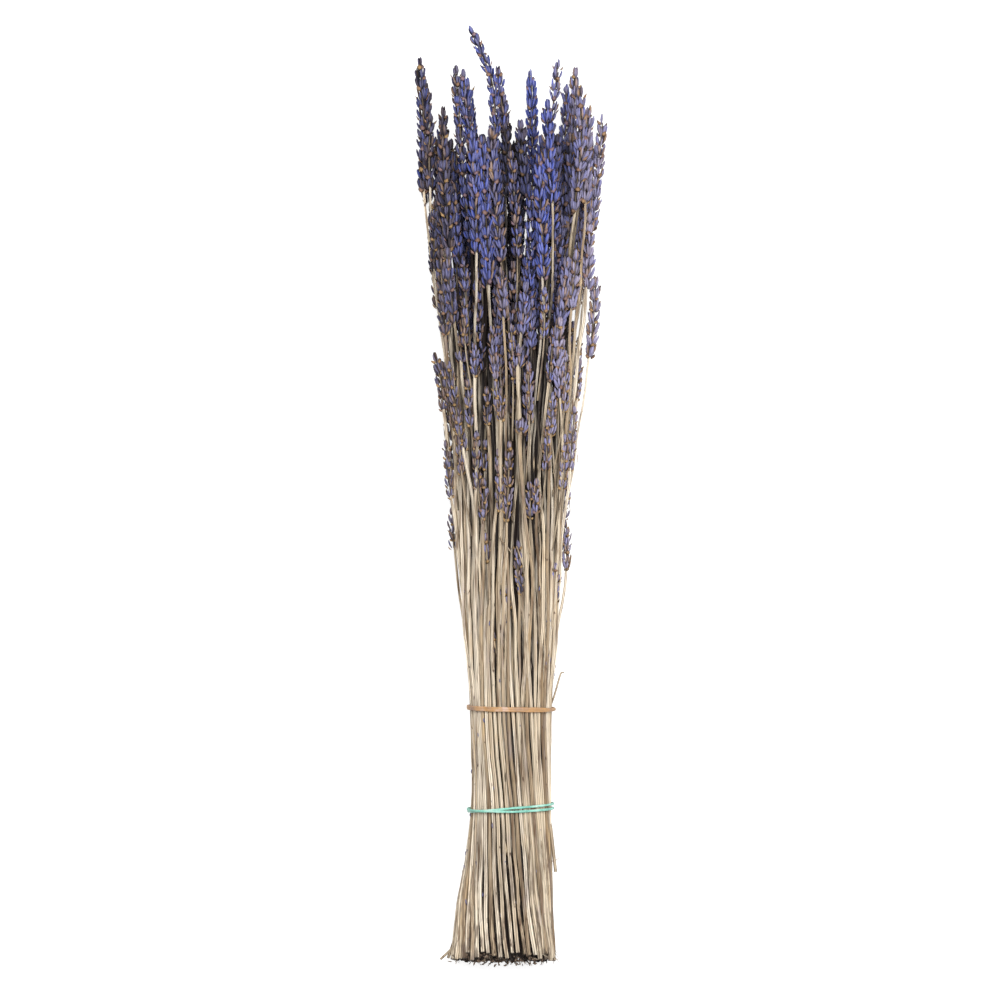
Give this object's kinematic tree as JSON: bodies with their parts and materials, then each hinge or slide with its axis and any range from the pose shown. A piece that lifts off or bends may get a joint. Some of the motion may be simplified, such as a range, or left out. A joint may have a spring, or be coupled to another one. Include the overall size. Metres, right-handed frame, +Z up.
{
  "type": "dried lavender bunch",
  "caption": "Dried lavender bunch lying on its side: straw-coloured stems, cut ends flared, tied by two elastic bands, with violet-blue flower spikes fanned at the far end.",
  "frame": {"origin": "on the surface the bunch lies on, below the centre of its bounding box", "axes": "+Y along the stems towards the flower spikes, +X across the bunch, +Z up off the surface"},
  "size_m": [0.107, 0.5168, 0.0703],
  "materials": {
    "straw": "matt, dry and finely ribbed",
    "lavender": "matt, felted",
    "tan_rubber": "satin",
    "green_rubber": "satin"
  },
  "bodies": {
    "root": {"flower_spike_01": "lavender", "flower_spike_02": "lavender", "flower_spike_03": "lavender", "flower_spike_04": "lavender", "flower_spike_05": "lavender", "flower_spike_06": "lavender", "flower_spike_07": "lavender", "flower_spike_08": "lavender", "flower_spike_09": "lavender", "flower_spike_10": "lavender", "flower_spike_11": "lavender", "flower_spike_12": "lavender", "flower_spike_13": "lavender", "flower_spike_14": "lavender", "flower_spike_15": "lavender", "flower_spike_16": "lavender", "flower_spike_17": "lavender", "flower_spike_18": "lavender", "flower_spike_19": "lavender", "flower_spike_20": "lavender", "flower_spike_21": "lavender", "flower_spike_22": "lavender", "flower_spike_23": "lavender", "flower_spike_24": "lavender", "flower_spike_25": "lavender", "flower_spike_26": "lavender", "flower_spike_27": "lavender", "flower_spike_28": "lavender", "flower_spike_29": "lavender", "flower_spike_30": "lavender", "flower_spike_31": "lavender", "flower_spike_32": "lavender", "flower_spike_33": "lavender", "flower_spike_34": "lavender", "flower_spike_35": "lavender", "flower_spike_36": "lavender", "flower_spike_37": "lavender", "flower_spike_38": "lavender", "flower_spike_39": "lavender", "flower_spike_40": "lavender", "flower_spike_41": "lavender", "flower_spike_42": "lavender", "flower_spike_43": "lavender", "flower_spike_44": "lavender", "flower_spike_45": "lavender", "flower_spike_46": "lavender", "flower_spike_47": "lavender", "flower_spike_48": "lavender", "flower_spike_49": "lavender", "flower_spike_50": "lavender", "flower_spike_51": "lavender", "flower_spike_52": "lavender", "flower_spike_53": "lavender", "flower_spike_54": "lavender", "flower_spike_55": "lavender", "flower_spike_56": "lavender", "flower_spike_57": "lavender", "green_band": "green_rubber", "stems": "straw", "tan_band": "tan_rubber"}
  },
  "joints": []
}
